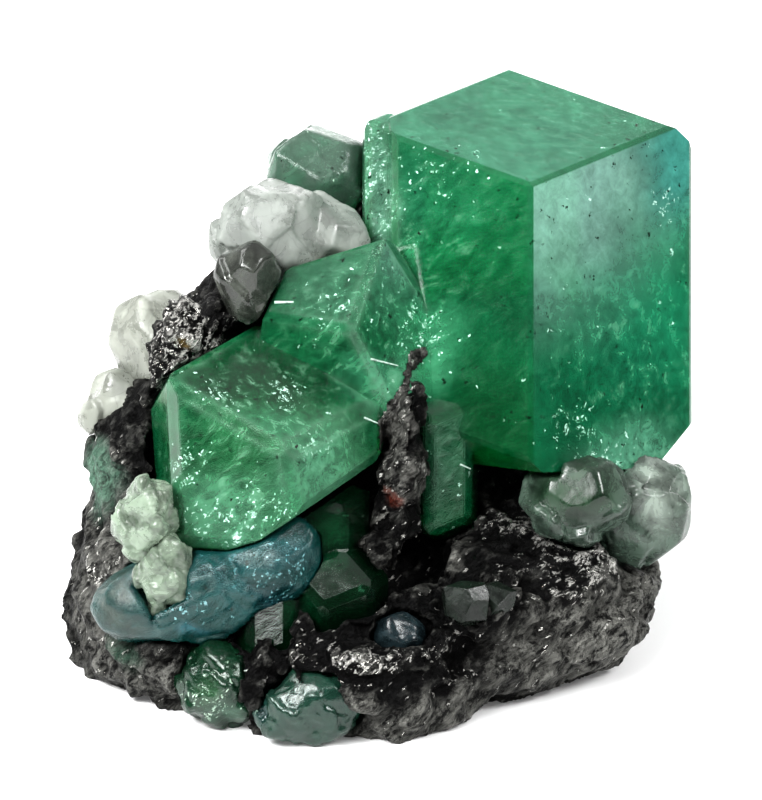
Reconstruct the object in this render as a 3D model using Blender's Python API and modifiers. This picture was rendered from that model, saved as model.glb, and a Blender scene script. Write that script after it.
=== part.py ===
"""Tsavorite in matrix: green garnet crystals standing in a lump of black graphite rock.

Run with: blender --background --python part.py

+Z is up, the show side faces -Y, and +X is to the right of a viewer who looks at the show side.
The specimen stands on a flat cut underside. The origin is the middle of the bounding box, at its
lowest level. Everything is modelled in millimetres and turned to metres in the last step.

Every crystal and every broken grain is a block cut down by its own flat faces. The large crystal has
the faces that garnet grows: twelve rhombs, stretched along one body diagonal to six long sides and
three end faces at each end. The rock is a few lumps merged into one, stepped along its layers, and
every crystal and grain sits in a pocket of its own shape.
"""

import math
import random

import bmesh
import bpy
from mathutils import Matrix, Vector, noise

MM = 0.001
GAP = 0.3  # clearance between neighbouring pieces
BLOCK = 90.0  # side of the block that every crystal is cut from
GOLDEN_ANGLE = math.pi * (3.0 - math.sqrt(5.0))

# Garnet: an end face leans this far from the long axis.
END_LEAN = math.degrees(math.acos(math.sqrt(2.0 / 3.0)))

# ---------------------------------------------------------------------------------------------
# Garnets with their natural faces. lean is how far the top tips back from upright, turn swings the
# front long edge to the right, radius is from the axis to a long side, top and bottom are from the
# centre to the end faces. moved sets one long side or end face in or out and edges cuts a long edge off
# by a depth, both by azimuth from the front edge. breaks are further cuts (azimuth, polar, distance).
GARNETS = {
    "large": dict(
        centre=(5.6, 17.4, 14.05), lean=27.0, turn=8.1, radius=6.9, top=8.4, bottom=8.6,
        bevel=0.08, moved={90: 1.2, -90: -1.15, 120: 0.25, 60: 2.4}, edges={-60: 0.8},
        breaks=[(-172, 172.7, 7.16), (90.5, 132, 9.86)],
    ),
    "step": dict(
        centre=(0.4, 16.6, 19.2), lean=27.0, turn=8.1, radius=1.15, top=3.3, bottom=3.9, bevel=0.12,
    ),
    "between": dict(centre=(2.6, 9.8, 9.8), lean=14.0, turn=-12.0, radius=1.7, top=2.6, bottom=3.4, bevel=0.15),
    "lower_a": dict(centre=(-2.5, 6.8, 7.2), lean=20.0, turn=25.0, radius=1.9, top=2.3, bottom=2.3, bevel=0.15),
    "lower_b": dict(centre=(-1.8, 4.7, 5.1), lean=-8.0, turn=-20.0, radius=2.0, top=2.1, bottom=2.2, bevel=0.15),
    "lower_c": dict(centre=(-4.8, 4.2, 4.0), lean=30.0, turn=-35.0, radius=1.6, top=2.1, bottom=2.0, bevel=0.15),
    "lower_d": dict(centre=(1.5, 6.9, 6.1), lean=60.0, turn=10.0, radius=1.2, top=1.6, bottom=1.8, bevel=0.15),
}

# Crystals that grew against others, with faces of unequal size. Each face is (azimuth, rise, distance):
# degrees to the right of the show side, degrees up from level, and mm from the centre.
UNEVEN_CRYSTALS = {
    "left": dict(
        centre=(-5.4, 8.5, 9.55), bevel=0.2,
        faces=[
            (37, 65, 4.6), (-18, 14, 4.5), (44, 20, 4.9), (59, -50, 2.5), (-13, -47, 4.5), (-76, 1, 4.5),
            (-128, 42, 5.3), (129, 44, 5.5), (94, -3, 5.4), (173, -31, 4.2), (-132, -17, 3.7),
        ],
    ),
    "middle": dict(
        centre=(-1.7, 12.2, 14.5), bevel=0.12,
        faces=[
            (-20, 49, 3.6), (-20, -4, 3.1), (44, 24, 3.4), (-111, 10, 2.8), (-158, 47, 2.9), (97, 29, 4.2),
            (86, -2, 5.4), (-64, -54, 3.7), (64, -52, 4.8), (173, -25, 5.8), (135, 14, 5.0), (-135, -36, 4.2),
        ],
    ),
}

# Broken grains: ellipsoids cut to flat chips. pitch tips the long X axis up to the right, in degrees,
# and chip is how far a face may sit inside the ellipsoid, as a share of its size.
GRAINS = {
    "tanzanite_a": dict(centre=(-8.6, 4.3, 5.5), radii=(4.3, 1.9, 1.9), pitch=-14, count=44, chip=0.08, seed=3),
    "tanzanite_b": dict(centre=(-5.2, 4.6, 6.7), radii=(2.6, 1.7, 1.9), pitch=-30, count=30, chip=0.1, seed=8),
    "round": dict(centre=(-7.0, 2.8, 1.75), radii=(1.85, 1.7, 1.85), pitch=0, count=26, chip=0.08, seed=5),
    "back": dict(centre=(-2.9, 18.4, 19.7), radii=(2.3, 1.9, 1.9), pitch=0, count=18, chip=0.15, seed=12),
    "teal": dict(centre=(-3.1, 0.9, 1.5), radii=(2.4, 1.3, 1.5), pitch=-12, count=22, chip=0.12, seed=7),
    "upper_a": dict(centre=(-4.9, 14.2, 18.5), radii=(2.6, 2.2, 2.3), pitch=-8, count=20, chip=0.16, seed=21),
    "upper_b": dict(centre=(-2.7, 14.6, 18.2), radii=(1.9, 1.8, 1.7), pitch=-4, count=16, chip=0.16, seed=22),
    "grey": dict(centre=(-5.85, 10.9, 17.7), radii=(1.15, 1.1, 1.8), pitch=10, count=16, chip=0.12, seed=31),
    "left_a": dict(centre=(-9.9, 14.0, 13.2), radii=(1.9, 1.8, 2.2), pitch=0, count=18, chip=0.14, seed=41),
    "left_b": dict(centre=(-11.5, 13.0, 10.4), radii=(1.4, 1.6, 1.7), pitch=0, count=16, chip=0.14, seed=42),
    "crust_a": dict(centre=(-10.3, 4.2, 9.2), radii=(1.1, 1.2, 2.1), pitch=10, count=18, chip=0.2, seed=51),
    "crust_b": dict(centre=(-9.6, 3.5, 6.8), radii=(1.0, 1.1, 1.9), pitch=14, count=16, chip=0.2, seed=52),
    "right_a": dict(centre=(8.9, 8.1, 8.4), radii=(2.3, 2.0, 1.8), pitch=-6, count=22, chip=0.14, seed=61),
    "right_b": dict(centre=(11.7, 10.2, 6.8), radii=(2.2, 2.2, 2.6), pitch=0, count=22, chip=0.14, seed=62),
    "right_c": dict(centre=(12.8, 12.6, 3.4), radii=(1.2, 1.6, 2.1), pitch=0, count=18, chip=0.16, seed=63),
    "clear_a": dict(centre=(4.5, 3.5, 4.7), radii=(1.5, 1.2, 1.4), pitch=-20, count=18, chip=0.14, seed=71),
    "clear_b": dict(centre=(6.0, 4.3, 4.5), radii=(1.3, 1.1, 1.1), pitch=10, count=16, chip=0.14, seed=72),
    "small": dict(centre=(0.9, 2.6, 4.3), radii=(1.0, 0.8, 0.8), pitch=0, count=14, chip=0.14, seed=75),
}

# The pieces, each one body of crystals or grains that grew into each other: (material, its parts).
# A piece gives way to those above it in this list.
PIECES = {
    "tsavorite_cluster": ("tsavorite", ["large", "step", "middle", "left", "between"]),
    "crust_quartz": ("quartz", ["crust_a", "crust_b"]),
    "tanzanite_crystal": ("tanzanite", ["tanzanite_a", "tanzanite_b"]),
    "lower_tsavorite": ("tsavorite", ["lower_a", "lower_b", "lower_c", "lower_d"]),
    "round_tsavorite": ("tsavorite", ["round"]),
    "back_tsavorite": ("tsavorite", ["back"]),
    "teal_grain": ("tanzanite", ["teal"]),
    "upper_quartz": ("quartz", ["upper_a", "upper_b"]),
    "grey_quartz": ("quartz", ["grey"]),
    "left_quartz": ("quartz", ["left_a", "left_b"]),
    "right_quartz": ("quartz", ["right_a", "right_b", "right_c"]),
    "clear_quartz": ("quartz", ["clear_a", "clear_b"]),
    "small_quartz": ("quartz", ["small"]),
}

# ---------------------------------------------------------------------------------------------
# The rock: lumps as (centre, radii), merged and then stepped along its layers.
ROCK_LUMPS = [
    ((-1.3, 8.0, 2.0), (8.3, 8.7, 4.6)),
    ((4.9, 10.6, 2.6), (7.4, 7.9, 4.8)),
    ((-8.3, 10.2, 2.7), (6.2, 7.5, 6.6)),
    ((0.5, 17.6, 4.6), (11.4, 6.8, 7.6)),
    ((4.6, 20.6, 6.0), (8.2, 5.6, 7.4)),
    ((-9.7, 11.6, 8.0), (3.3, 4.0, 4.4)),
    ((-6.6, 15.2, 8.2), (5.4, 5.2, 7.4)),
    ((-1.8, 19.6, 13.6), (3.4, 3.6, 7.0)),
    ((-8.9, 10.4, 12.6), (1.9, 2.4, 4.6)),
    ((-4.6, 16.2, 14.6), (3.4, 3.0, 3.6)),
    ((-6.9, 12.6, 14.2), (1.9, 2.3, 2.9)),
    ((0.5, 8.3, 6.6), (1.5, 2.3, 2.8)),
]
VOXEL = 0.6  # grid on which the lumps are merged
ROCK_TRIANGLES = 4600
LAYER_NORMAL = Vector((0.28, -0.42, 0.86)).normalized()
LAYER = 1.5  # thickness of one layer
LEDGE = 0.55  # how far the layers step in and out
SWELL = 0.7  # height of the broad lumps
PIT = 0.45  # depth of the small pits

# A seam of graphite that climbs the front of the crystals, as chips of the same rock.
SEAM = [
    dict(centre=(0.95, 7.3, 9.4), radii=(1.15, 1.3, 2.1), pitch=12, count=20, chip=0.2, seed=81),
    dict(centre=(0.7, 7.0, 7.6), radii=(1.2, 1.4, 1.8), pitch=-10, count=18, chip=0.2, seed=82),
    dict(centre=(1.3, 8.0, 12.1), radii=(0.5, 0.7, 2.2), pitch=14, count=14, chip=0.15, seed=83),
    dict(centre=(-0.6, 5.4, 6.6), radii=(2.1, 0.9, 0.8), pitch=-24, count=16, chip=0.2, seed=84),
]

MATERIALS = {
    "tsavorite": dict(colour=(0.02, 0.27, 0.13), roughness=0.12, metallic=0.0),
    "tanzanite": dict(colour=(0.1, 0.25, 0.38), roughness=0.2, metallic=0.0),
    "quartz": dict(colour=(0.62, 0.66, 0.62), roughness=0.3, metallic=0.0),
    "graphite": dict(colour=(0.05, 0.047, 0.05), roughness=0.4, metallic=0.6),
}


def clear_scene():
    for obj in list(bpy.data.objects):
        bpy.data.objects.remove(obj, do_unlink=True)
    for coll in list(bpy.data.collections):
        bpy.data.collections.remove(coll)


def new_collection(name):
    coll = bpy.data.collections.new(name)
    bpy.context.scene.collection.children.link(coll)
    return coll


def new_material(name, colour, roughness, metallic):
    mat = bpy.data.materials.new(name)
    mat.use_nodes = True
    shader = mat.node_tree.nodes["Principled BSDF"]
    shader.inputs["Base Color"].default_value = (*colour, 1.0)
    shader.inputs["Roughness"].default_value = roughness
    shader.inputs["Metallic"].default_value = metallic
    return mat


def direction(azimuth, polar):
    """Unit vector at an azimuth from +X towards +Y and a polar angle from +Z, both in degrees."""
    flat = math.sin(math.radians(polar))
    turn = math.radians(azimuth)
    return Vector((flat * math.cos(turn), flat * math.sin(turn), math.cos(math.radians(polar))))


def with_edge_faces(faces, bevel):
    """The faces, and a narrow one on every blunt edge between two of them."""
    narrow = []
    for i, (first, a) in enumerate(faces):
        for second, b in faces[i + 1:]:
            if 35.0 < math.degrees(first.angle(second)) < 85.0:
                middle = first + second
                narrow.append((middle.normalized(), (a + b) / middle.length - bevel))
    return faces + narrow


def garnet(spec):
    """Placement and faces of a garnet. Locally the long axis is Z and the front long edge is at +X."""
    moved = spec.get("moved", {})
    faces = []
    for azimuth in (-150, -90, -30, 30, 90, 150):
        faces.append((direction(azimuth, 90.0), spec["radius"] + moved.get(azimuth, 0.0)))
    for azimuth in (-120, 0, 120):
        faces.append((direction(azimuth, END_LEAN), spec["top"] + moved.get(azimuth, 0.0)))
        faces.append((direction(azimuth + 60, 180.0 - END_LEAN), spec["bottom"] + moved.get(azimuth + 60, 0.0)))
    faces = with_edge_faces(faces, spec["bevel"])
    corner = spec["radius"] / math.cos(math.radians(30.0))
    for azimuth, depth in spec.get("edges", {}).items():
        faces.append((direction(azimuth, 90.0), corner - depth))
    faces += [(direction(azimuth, polar), away) for azimuth, polar, away in spec.get("breaks", ())]
    place = Matrix.Translation(spec["centre"])
    place = place @ Matrix.Rotation(math.radians(-spec["lean"]), 4, "X")
    place = place @ Matrix.Rotation(math.radians(spec["turn"] - 90.0), 4, "Z")
    return place, faces


def uneven_crystal(spec):
    faces = [(direction(azimuth - 90.0, 90.0 - rise), away) for azimuth, rise, away in spec["faces"]]
    return Matrix.Translation(spec["centre"]), with_edge_faces(faces, spec["bevel"])


def grain(spec):
    """Placement and faces of a broken grain: directions spread evenly, disturbed, and set in at random."""
    rng = random.Random(spec["seed"])
    faces = []
    for i in range(spec["count"]):
        height = 1.0 - (2 * i + 1) / spec["count"]
        spread = direction(math.degrees(i * GOLDEN_ANGLE), math.degrees(math.acos(height)))
        jitter = Vector((rng.uniform(-0.2, 0.2), rng.uniform(-0.2, 0.2), rng.uniform(-0.2, 0.2)))
        normal = (spread + jitter).normalized()
        reach = Vector(a * b for a, b in zip(normal, spec["radii"])).length
        faces.append((normal, reach * (1.0 - rng.uniform(0.0, spec["chip"]))))
    place = Matrix.Translation(spec["centre"])
    return place @ Matrix.Rotation(math.radians(spec["pitch"]), 4, "Y"), faces


def cut_block(name, collection, place, faces, grow=0.0):
    """A block cut down to the inside of its faces, each moved out by grow."""
    bm = bmesh.new()
    bmesh.ops.create_cube(bm, size=BLOCK)
    for normal, away in faces:
        whole = bm.verts[:] + bm.edges[:] + bm.faces[:]
        bmesh.ops.bisect_plane(
            bm, geom=whole, plane_co=normal * (away + grow), plane_no=normal, clear_outer=True, dist=0.0001,
        )
        bmesh.ops.holes_fill(bm, edges=[edge for edge in bm.edges if edge.is_boundary])
    bmesh.ops.remove_doubles(bm, verts=bm.verts, dist=0.02)
    bmesh.ops.dissolve_degenerate(bm, edges=bm.edges, dist=0.01)
    bmesh.ops.recalc_face_normals(bm, faces=bm.faces)
    return new_object(name, collection, bm, place)


def new_object(name, collection, bm, place=None):
    mesh = bpy.data.meshes.new(name)
    bm.to_mesh(mesh)
    bm.free()
    obj = bpy.data.objects.new(name, mesh)
    if place is not None:
        obj.matrix_world = place
    collection.objects.link(obj)
    return obj


def apply_modifiers(obj):
    bpy.context.view_layer.update()
    evaluated = obj.evaluated_get(bpy.context.evaluated_depsgraph_get())
    mesh = bpy.data.meshes.new_from_object(evaluated)
    obj.modifiers.clear()
    obj.data = mesh


def boolean(obj, other, operation):
    mod = obj.modifiers.new(operation.lower(), "BOOLEAN")
    mod.operation = operation
    mod.solver = "EXACT"
    mod.object = other
    apply_modifiers(obj)
    bpy.data.objects.remove(other, do_unlink=True)


def keep_largest(obj):
    """Removes the crumbs that a cut leaves beside the main body."""
    bm = bmesh.new()
    bm.from_mesh(obj.data)
    left = set(bm.verts)
    bodies = []
    while left:
        body = {left.pop()}
        edge_of = list(body)
        while edge_of:
            vert = edge_of.pop()
            for edge in vert.link_edges:
                other = edge.other_vert(vert)
                if other in left:
                    left.remove(other)
                    body.add(other)
                    edge_of.append(other)
        bodies.append(body)
    main = max(bodies, key=len)
    bmesh.ops.delete(bm, geom=[vert for vert in bm.verts if vert not in main], context="VERTS")
    bm.to_mesh(obj.data)
    bm.free()


def parts_of(names):
    for name in names:
        if name in GARNETS:
            yield garnet(GARNETS[name])
        elif name in UNEVEN_CRYSTALS:
            yield uneven_crystal(UNEVEN_CRYSTALS[name])
        else:
            yield grain(GRAINS[name])


def cut_neighbours(obj, neighbours, cutters):
    """Takes each neighbouring piece out of obj, with the clearance round it."""
    for names in neighbours:
        for place, faces in parts_of(names):
            boolean(obj, cut_block("pocket", cutters, place, faces, GAP), "DIFFERENCE")
    keep_largest(obj)


def cut_below_ground(obj, cutters):
    bm = bmesh.new()
    bmesh.ops.create_cube(bm, size=BLOCK)
    boolean(obj, new_object("ground", cutters, bm, Matrix.Translation((0.0, 0.0, -BLOCK / 2.0))), "DIFFERENCE")


def rock_relief(point):
    """How far the rock's surface stands out at a point: broad lumps, steps along the layers, pits."""
    swell = SWELL * noise.fractal(point * 0.16, 0.9, 2.1, 3)
    level = point.dot(LAYER_NORMAL) / LAYER + 0.9 * noise.noise(point * 0.22)
    step = level - math.floor(level)
    ledge = LEDGE * (1.0 - min(1.0, step / 0.75)) - 0.5 * LEDGE
    pits = -PIT * max(0.0, noise.noise(point * 0.95 + Vector((7.0, 0.0, 3.0)))) * 2.0
    return swell + ledge + pits


def rock(name, collection, cutters):
    bm = bmesh.new()
    for centre, radii in ROCK_LUMPS:
        shape = Matrix.Translation(centre) @ Matrix.Diagonal((*radii, 1.0))
        bmesh.ops.create_icosphere(bm, subdivisions=3, radius=1.0, matrix=shape)
    obj = new_object(name, collection, bm)
    merge = obj.modifiers.new("merge", "REMESH")
    merge.mode = "VOXEL"
    merge.voxel_size = VOXEL
    apply_modifiers(obj)
    bm = bmesh.new()
    bm.from_mesh(obj.data)
    bm.normal_update()
    moves = [vert.normal * rock_relief(vert.co) for vert in bm.verts]
    for vert, move in zip(bm.verts, moves):
        vert.co += move
    bm.to_mesh(obj.data)
    bm.free()
    thin = obj.modifiers.new("thin", "DECIMATE")
    obj.data.calc_loop_triangles()
    thin.ratio = ROCK_TRIANGLES / len(obj.data.loop_triangles)
    apply_modifiers(obj)
    for spec in SEAM:
        place, faces = grain(spec)
        boolean(obj, cut_block("seam", cutters, place, faces), "UNION")
    return obj


def settle(objects):
    """Moves the specimen's origin to the bottom centre of its box and turns millimetres to metres."""
    bpy.context.view_layer.update()
    corners = [obj.matrix_world @ vert.co for obj in objects for vert in obj.data.vertices]
    low = Vector(min(corner[i] for corner in corners) for i in range(3))
    high = Vector(max(corner[i] for corner in corners) for i in range(3))
    origin = Vector(((low.x + high.x) / 2.0, (low.y + high.y) / 2.0, low.z))
    for obj in objects:
        obj.data.transform(Matrix.Scale(MM, 4))
        obj.location = (obj.location - origin) * MM


def main():
    clear_scene()
    parts = new_collection("tsavorite_in_matrix")
    cutters = new_collection("cutters")
    materials = {name: new_material(name, **look) for name, look in MATERIALS.items()}
    objects = []
    above = []
    for name, (material, names) in PIECES.items():
        solids = list(parts_of(names))
        obj = cut_block(name, parts, *solids[0])
        for place, faces in solids[1:]:
            boolean(obj, cut_block("growth", cutters, place, faces), "UNION")
        cut_neighbours(obj, above, cutters)
        cut_below_ground(obj, cutters)
        obj.data.materials.clear()
        obj.data.materials.append(materials[material])
        above.append(names)
        objects.append(obj)
    matrix = rock("graphite_matrix", parts, cutters)
    cut_neighbours(matrix, above, cutters)
    cut_below_ground(matrix, cutters)
    matrix.data.materials.clear()
    matrix.data.materials.append(materials["graphite"])
    objects.append(matrix)
    bpy.data.collections.remove(cutters)
    settle(objects)


main()
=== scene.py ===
"""Dresses the tsavorite specimen: clear garnets, quartz and tanzanite in flaky graphite rock.

Lengths in this file are millimetres in the specimen's own measuring frame, unless a name says metres.
"""

import math

import bmesh
import bpy
import numpy as np
from mathutils import Matrix, Vector, noise
from mathutils.bvhtree import BVHTree
from mathutils.kdtree import KDTree


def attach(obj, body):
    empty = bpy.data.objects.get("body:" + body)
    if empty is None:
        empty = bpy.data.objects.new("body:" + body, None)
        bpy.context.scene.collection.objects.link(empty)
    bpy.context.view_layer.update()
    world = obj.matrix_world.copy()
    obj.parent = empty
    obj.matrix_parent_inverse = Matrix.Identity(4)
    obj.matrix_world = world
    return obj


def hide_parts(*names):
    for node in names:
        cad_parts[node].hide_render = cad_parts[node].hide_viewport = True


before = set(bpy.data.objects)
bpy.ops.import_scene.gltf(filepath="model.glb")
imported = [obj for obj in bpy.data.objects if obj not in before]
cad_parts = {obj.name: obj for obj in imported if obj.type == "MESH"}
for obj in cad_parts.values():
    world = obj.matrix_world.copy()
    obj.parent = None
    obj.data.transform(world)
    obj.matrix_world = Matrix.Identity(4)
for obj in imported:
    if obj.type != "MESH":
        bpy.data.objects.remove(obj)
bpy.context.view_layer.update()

MM = 0.001
# The measuring frame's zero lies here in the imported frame.
ZERO = Vector((0.246, -13.52, 0.0))
# Side of the block that each crystal is cut from, and how much is rounded off its edges.
BLOCK, ROUNDING = 90.0, 0.05
# An end face of garnet leans this many degrees from the long axis.
GARNET_END = math.degrees(math.acos(math.sqrt(2.0 / 3.0)))
# The longest edge of a crystal's small faces, and the grids for broken grains, rock and crusts.
CRYSTAL_GRID, GRAIN_GRID, ROCK_GRID, CRUST_GRID = 0.5, 0.1, 0.19, 0.08
# How far the painted sheen along a crystal's edges reaches in, and how far the borders between colours
# wander.
EDGE_SHEEN_REACH, BORDER_WANDER = 0.45, 0.55
# The show side is looked at from this many radians above level, along this direction.
SHOW_RISE = math.radians(25.0)
SHOW_WAY = Vector((0.0, -math.cos(SHOW_RISE), math.sin(SHOW_RISE)))

# ------------------------------------------------------------------ the crystals' faces
# Garnets with their natural faces. lean tips the top back and turn swings the front edge, in degrees;
# radius is from the axis to a long side, top and bottom from the centre to the end faces. moved sets one
# face in or out and edges cuts a long edge off, both by azimuth. breaks are (azimuth, polar, distance).
GARNETS = {
    "large": dict(
        centre=(5.6, 17.4, 14.05), lean=27.0, turn=8.1, radius=6.9, top=8.4, bottom=8.6,
        bevel=0.08, moved={90: 1.2, -90: -1.15, 120: 0.25, 60: 2.4}, edges={-60: 0.8},
        breaks=[(-172, 172.7, 7.16), (90.5, 132, 9.86)],
    ),
    "step": dict(
        centre=(0.4, 16.6, 19.2), lean=27.0, turn=8.1, radius=1.15, top=3.3, bottom=3.9, bevel=0.12,
    ),
    "between": dict(
        centre=(2.6, 9.8, 9.8), lean=14.0, turn=-12.0, radius=1.7, top=2.6, bottom=3.4, bevel=0.15,
    ),
}
# Crystals with faces of unequal size: degrees right of the show side, degrees up, mm from the centre.
UNEVEN_CRYSTALS = {
    "left": dict(
        centre=(-5.4, 8.5, 9.55), bevel=0.2,
        faces=[
            (37, 65, 4.6), (-18, 14, 4.5), (44, 20, 4.9), (59, -50, 2.5), (-13, -47, 4.5), (-76, 1, 4.5),
            (-128, 42, 5.3), (129, 44, 5.5), (94, -3, 5.4), (173, -31, 4.2), (-132, -17, 3.7),
        ],
    ),
    "middle": dict(
        centre=(-1.7, 12.2, 14.5), bevel=0.12,
        faces=[
            (-20, 49, 3.6), (-20, -4, 3.1), (44, 24, 3.4), (-111, 10, 2.8), (-158, 47, 2.9), (97, 29, 4.2),
            (86, -2, 5.4), (-64, -54, 3.7), (64, -52, 4.8), (173, -25, 5.8), (135, 14, 5.0),
            (-135, -36, 4.2),
        ],
    ),
}


# ------------------------------------------------------------------ shaping
def direction(azimuth, polar):
    """The unit vector at an azimuth from +X and a polar angle from +Z, both in degrees."""
    flat = math.sin(math.radians(polar))
    turn = math.radians(azimuth)
    return Vector((flat * math.cos(turn), flat * math.sin(turn), math.cos(math.radians(polar))))


def with_edge_faces(faces, bevel):
    """Adds a narrow face along each edge, where two faces lean 35 to 85 degrees from each other."""
    narrow = []
    for i, (first, a) in enumerate(faces):
        for second, b in faces[i + 1:]:
            if 35.0 < math.degrees(first.angle(second)) < 85.0:
                middle = first + second
                narrow.append((middle.normalized(), (a + b) / middle.length - bevel))
    return faces + narrow


def garnet_faces(spec):
    """A garnet's place, and its faces as directions and distances: six long sides, three at each end."""
    moved = spec.get("moved", {})
    faces = []
    for azimuth in (-150, -90, -30, 30, 90, 150):
        faces.append((direction(azimuth, 90.0), spec["radius"] + moved.get(azimuth, 0.0)))
    for azimuth in (-120, 0, 120):
        below = azimuth + 60
        faces.append((direction(azimuth, GARNET_END), spec["top"] + moved.get(azimuth, 0.0)))
        faces.append((direction(below, 180.0 - GARNET_END), spec["bottom"] + moved.get(below, 0.0)))
    faces = with_edge_faces(faces, spec["bevel"])
    corner = spec["radius"] / math.cos(math.radians(30.0))
    for azimuth, depth in spec.get("edges", {}).items():
        faces.append((direction(azimuth, 90.0), corner - depth))
    faces += [(direction(azimuth, polar), away) for azimuth, polar, away in spec.get("breaks", ())]
    place = Matrix.Translation(spec["centre"])
    place = place @ Matrix.Rotation(math.radians(-spec["lean"]), 4, "X")
    return place @ Matrix.Rotation(math.radians(spec["turn"] - 90.0), 4, "Z"), faces


def uneven_faces(spec):
    """An uneven crystal's place and faces, from angles given from the show side and from level."""
    faces = [(direction(azimuth - 90.0, 90.0 - rise), away) for azimuth, rise, away in spec["faces"]]
    return Matrix.Translation(spec["centre"]), with_edge_faces(faces, spec["bevel"])


def cut_crystal(place, faces):
    """A block cut down to its faces, with every edge rounded off a little."""
    bm = bmesh.new()
    bmesh.ops.create_cube(bm, size=BLOCK)
    for normal, away in faces:
        whole = bm.verts[:] + bm.edges[:] + bm.faces[:]
        bmesh.ops.bisect_plane(
            bm, geom=whole, plane_co=normal * away, plane_no=normal, clear_outer=True, dist=0.0001)
        bmesh.ops.holes_fill(bm, edges=[edge for edge in bm.edges if edge.is_boundary])
    bmesh.ops.remove_doubles(bm, verts=bm.verts, dist=0.02)
    bmesh.ops.dissolve_degenerate(bm, edges=bm.edges, dist=0.01)
    bmesh.ops.recalc_face_normals(bm, faces=bm.faces)
    bmesh.ops.bevel(
        bm, geom=bm.edges[:], offset=ROUNDING, segments=2, affect="EDGES", clamp_overlap=True)
    bm.transform(place)
    return bm


def as_object(name, bm):
    """Makes an object from a bmesh and frees the bmesh."""
    mesh = bpy.data.meshes.new(name)
    bm.to_mesh(mesh)
    bm.free()
    obj = bpy.data.objects.new(name, mesh)
    bpy.context.scene.collection.objects.link(obj)
    return obj


def apply_modifiers(obj):
    bpy.context.view_layer.update()
    shaped = obj.evaluated_get(bpy.context.evaluated_depsgraph_get())
    mesh = bpy.data.meshes.new_from_object(shaped)
    obj.modifiers.clear()
    obj.data = mesh


def joined(obj, other):
    """Grows another object into this one as one solid."""
    mod = obj.modifiers.new("join", "BOOLEAN")
    mod.operation = "UNION"
    mod.solver = "EXACT"
    mod.object = other
    apply_modifiers(obj)
    bpy.data.objects.remove(other, do_unlink=True)


def node_copy(name, node):
    """A CAD node's mesh as a new object, in millimetres in the measuring frame."""
    bm = bmesh.new()
    bm.from_mesh(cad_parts[node].data)
    bmesh.ops.remove_doubles(bm, verts=bm.verts, dist=0.0005 * MM)
    bm.transform(Matrix.Translation(-ZERO) @ Matrix.Scale(1.0 / MM, 4))
    return as_object(name, bm)


def remesh(obj, grid):
    merge = obj.modifiers.new("grid", "REMESH")
    merge.mode = "VOXEL"
    merge.voxel_size = grid
    apply_modifiers(obj)


def points_of(mesh):
    co = np.empty(len(mesh.vertices) * 3)
    mesh.vertices.foreach_get("co", co)
    return co.reshape(-1, 3)


def normals_of(mesh):
    no = np.empty(len(mesh.vertices) * 3)
    mesh.vertex_normals.foreach_get("vector", no)
    return no.reshape(-1, 3)


def set_points(mesh, co):
    mesh.vertices.foreach_set("co", co.ravel())
    mesh.update()


def smooth_points(mesh, rounds, share):
    """Pulls every point towards the mean of its neighbours."""
    co = points_of(mesh)
    edges = np.empty(len(mesh.edges) * 2, dtype=int)
    mesh.edges.foreach_get("vertices", edges)
    a, b = edges.reshape(-1, 2).T
    count = np.bincount(np.concatenate([a, b]), minlength=len(co))[:, None]
    for _ in range(rounds):
        total = np.zeros_like(co)
        np.add.at(total, a, co[b])
        np.add.at(total, b, co[a])
        co += share * (total / count - co)
    set_points(mesh, co)


def finish_piece(obj, material, nodes, smooth=True):
    obj.data.transform(Matrix.Scale(MM, 4) @ Matrix.Translation(ZERO))
    obj.data.materials.clear()
    obj.data.materials.append(material)
    obj.data.polygons.foreach_set("use_smooth", [smooth] * len(obj.data.polygons))
    obj.data.update()
    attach(obj, "root")
    if nodes:
        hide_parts(*nodes)
    return obj


def small_faces(obj, longest):
    """Cuts flat faces into small ones, so that colour can change across them."""
    bm = bmesh.new()
    bm.from_mesh(obj.data)
    for _ in range(9):
        bmesh.ops.triangulate(bm, faces=bm.faces)
        long_edges = [edge for edge in bm.edges if edge.calc_length() > longest]
        if not long_edges:
            break
        bmesh.ops.subdivide_edges(bm, edges=long_edges, cuts=1, use_grid_fill=False)
    bmesh.ops.triangulate(bm, faces=bm.faces)
    bm.to_mesh(obj.data)
    bm.free()


def nearness_to_edges(mesh, reach):
    """1 on a crystal's outer edges, falling to 0 at a reach from them, for each point."""
    bm = bmesh.new()
    bm.from_mesh(mesh)
    outer = [edge for edge in bm.edges if edge.is_manifold and edge.is_convex]
    sharp = [edge for edge in outer if edge.calc_face_angle() > 0.2]
    # One point far off keeps the tree from being empty on a worn grain.
    tree = KDTree(3 * len(sharp) + 1)
    tree.insert((0.0, 0.0, -1000.0), 0)
    for edge in sharp:
        a, b = (vert.co for vert in edge.verts)
        for share in (0.0, 0.5, 1.0):
            tree.insert(a.lerp(b, share), 0)
    tree.balance()
    near = np.array([max(0.0, 1.0 - tree.find(vert.co)[2] / reach) for vert in bm.verts])
    bm.free()
    return near


def share_of(place, centre, reach, core):
    """1 in the middle of an egg-shaped region, falling to 0 at its reach."""
    away = np.linalg.norm((place - np.array(centre)) / np.array(reach), axis=1)
    t = np.clip((1.0 - away) / (1.0 - core), 0.0, 1.0)
    return t * t * (3.0 - 2.0 * t)


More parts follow.
